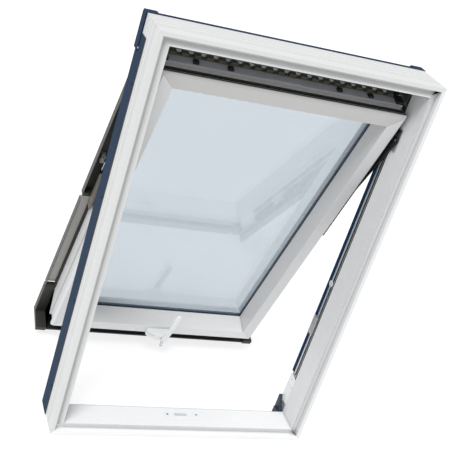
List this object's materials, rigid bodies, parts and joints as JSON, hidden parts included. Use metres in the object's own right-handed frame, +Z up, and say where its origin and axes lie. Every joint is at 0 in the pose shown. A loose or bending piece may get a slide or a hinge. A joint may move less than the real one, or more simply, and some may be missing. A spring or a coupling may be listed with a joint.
{
  "type": "roof skylight",
  "caption": "Top-hung roof window with a turning sash: white hollow plastic frame and sash, double glazing, slate blue and black outer covers, lever handle, lifting arms and stays",
  "frame": {"origin": "middle of the underside of the frame, where it stands on the roof battens", "axes": "X across the width, +Y out of the roof, +Z up along the slope of the roof from the foot to the head"},
  "size_m": [0.786, 0.5406, 1.1875],
  "materials": {
    "frame_plastic": "satin white plastic",
    "sash_plastic": "satin white plastic",
    "steel": "galvanised steel inside the chambers",
    "seal_rubber": "matte black rubber",
    "rail_aluminium": "plain aluminium",
    "white_fitting": "smooth white",
    "zinc": "zinc plated",
    "cover_blue": "satin slate blue paint",
    "corner_dark": "matte dark blue grey",
    "screw_steel": "zinc plated steel",
    "buffer_grey": "matte grey",
    "arm_black": "black coated steel",
    "cover_olive": "dark olive grey paint",
    "housing_grey": "matte warm grey",
    "glass": "clear glass",
    "spacer_dark": "matte dark blue",
    "glazing_rubber": "grey glazing rubber",
    "cover_black": "satin black paint",
    "liner_grey": "matte warm grey",
    "strip_grey": "matte dark grey",
    "comb_olive": "matte olive black",
    "filter_light": "pale filter fleece",
    "fitting_black": "matte black",
    "loop_blue": "soft pale blue plastic"
  },
  "bodies": {
    "frame": {"frame_head": "frame_plastic", "frame_sill": "frame_plastic", "frame_stile_left": "frame_plastic", "frame_stile_right": "frame_plastic", "frame_steel_cores": "steel", "frame_gasket": "seal_rubber", "rail_left": "rail_aluminium", "rail_right": "rail_aluminium", "rail_end_blocks": "white_fitting", "rail_clips": "zinc", "side_cover_left": "cover_blue", "side_cover_right": "cover_blue", "cover_seals": "seal_rubber", "cover_screws": "cover_blue", "head_cover": "cover_blue", "hood_end_left": "cover_blue", "hood_end_right": "cover_blue", "sill_cover": "cover_blue", "cover_corner_left": "corner_dark", "cover_corner_right": "corner_dark", "striker_plate": "white_fitting", "fitting_screws": "screw_steel", "frame_hinge_left": "zinc", "frame_hinge_right": "zinc", "stay_brackets": "zinc", "side_buffers": "buffer_grey"},
    "arms": {"arm_left": "arm_black", "arm_right": "arm_black", "arm_cover_left": "cover_olive", "arm_cover_right": "cover_olive", "arm_housings": "housing_grey", "arm_cover_clips": "zinc"},
    "handle": {"handle_lever": "white_fitting"},
    "latch": {"latch_bolt": "screw_steel"},
    "stay_l": {"stay_left": "arm_black"},
    "stay_r": {"stay_right": "arm_black"},
    "sash": {"sash_head": "sash_plastic", "sash_sill": "sash_plastic", "sash_stile_left": "sash_plastic", "sash_stile_right": "sash_plastic", "sash_steel_cores": "steel", "glass_inner_pane": "glass", "glass_outer_pane": "glass", "glass_spacer": "spacer_dark", "glazing_gaskets": "glazing_rubber", "sash_cover_top": "cover_olive", "sash_cover_bottom": "cover_black", "sash_covers_side": "cover_olive", "sash_cover_liners": "liner_grey", "sash_corners": "cover_black", "sash_side_gaskets": "seal_rubber", "sash_head_gaskets": "seal_rubber", "sash_head_strip": "strip_grey", "vent_comb": "comb_olive", "vent_filter": "filter_light", "head_fittings": "fitting_black", "sash_pivots": "zinc", "lock_case": "white_fitting", "pull_loop": "loop_blue"}
  },
  "joints": [
    {"name": "lift", "type": "hinge", "parent": "frame", "child": "arms", "pos_m": [0, 0.09, 1.105], "axis": [1, 0, 0], "range_deg": [-20.2, 14.8], "deforming": ["pull_loop"]},
    {"name": "sash_turn", "type": "hinge", "parent": "arms", "child": "sash", "pos_m": [0, 0.18958, 0.63018], "axis": [1, 0, 0], "range_deg": [0, 100]},
    {"name": "handle_turn", "type": "hinge", "parent": "sash", "child": "handle", "pos_m": [0.028, 0.3492, 0.08049], "axis": [0, -0.9385, -0.3453], "range_deg": [0, 90]},
    {"name": "latch_slide", "type": "slide", "parent": "sash", "child": "latch", "axis": [0, 0.3453, -0.9385], "range_m": [0, 0.0151]},
    {"name": "stay_left_swing", "type": "hinge", "parent": "frame", "child": "stay_l", "pos_m": [-0.35, 0.011, 0.994], "axis": [1, 0, 0], "range_deg": [-25.4, 18.7]},
    {"name": "stay_right_swing", "type": "hinge", "parent": "frame", "child": "stay_r", "pos_m": [0.35, 0.011, 0.994], "axis": [1, 0, 0], "range_deg": [-25.4, 18.7]}
  ],
  "couplings": [
    {"joint": "latch_slide", "follows": "handle_turn", "m_per_rad": 0.009549},
    {"joint": "stay_left_swing", "follows": "lift", "ratio": 1.25},
    {"joint": "stay_right_swing", "follows": "lift", "ratio": 1.25}
  ]
}
